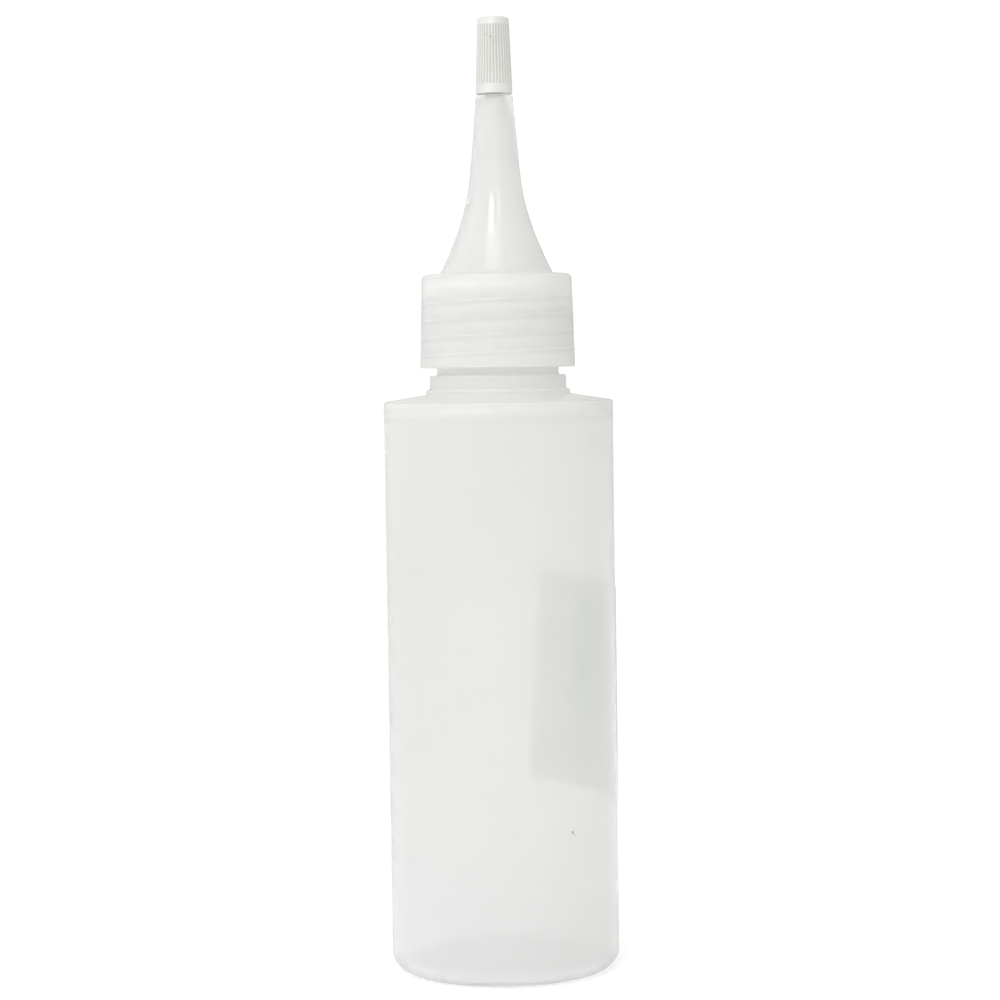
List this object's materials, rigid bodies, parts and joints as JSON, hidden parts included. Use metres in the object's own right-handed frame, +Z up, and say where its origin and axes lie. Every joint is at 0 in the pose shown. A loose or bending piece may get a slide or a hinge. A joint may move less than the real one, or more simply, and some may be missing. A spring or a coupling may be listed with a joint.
{
  "type": "glue applicator bottle",
  "caption": "Slim translucent squeeze bottle for glue, with a screw-on spout cap, a tapered trumpet nozzle and a small push-on tip cap.",
  "frame": {"origin": "centre of the base, on the plane the bottle stands on", "axes": "+Z up the bottle's axis to the tip, -Y front, +X right; the label is on the back right"},
  "size_m": [0.0401, 0.04, 0.1657],
  "materials": {
    "bottle": "satin, natural translucent polyethylene",
    "spout_cap": "semi-gloss, natural translucent polyethylene",
    "seal_washer": "matt foamed polyethylene",
    "tip_cap": "satin, opaque white",
    "label": "matt self-adhesive paper"
  },
  "bodies": {
    "bottle": {"bottle": "bottle", "label": "label"},
    "seal": {"seal_washer": "seal_washer"},
    "spout": {"spout_cap": "spout_cap"},
    "tip": {"tip_cap": "tip_cap"}
  },
  "joints": [
    {"name": "cap_lift", "type": "slide", "parent": "bottle", "child": "seal", "axis": [0, 0, 1], "range_m": [0, 0.01655]},
    {"name": "cap_turn", "type": "hinge", "parent": "seal", "child": "spout", "pos_m": [0, 0, 0.1189], "axis": [0, 0, 1], "range_deg": [0, 1980]},
    {"name": "tip_pull", "type": "slide", "parent": "spout", "child": "tip", "axis": [0, 0, 1], "range_m": [0, 0.014]}
  ],
  "couplings": [
    {"joint": "cap_lift", "follows": "cap_turn", "m_per_rad": 0.00047746}
  ]
}
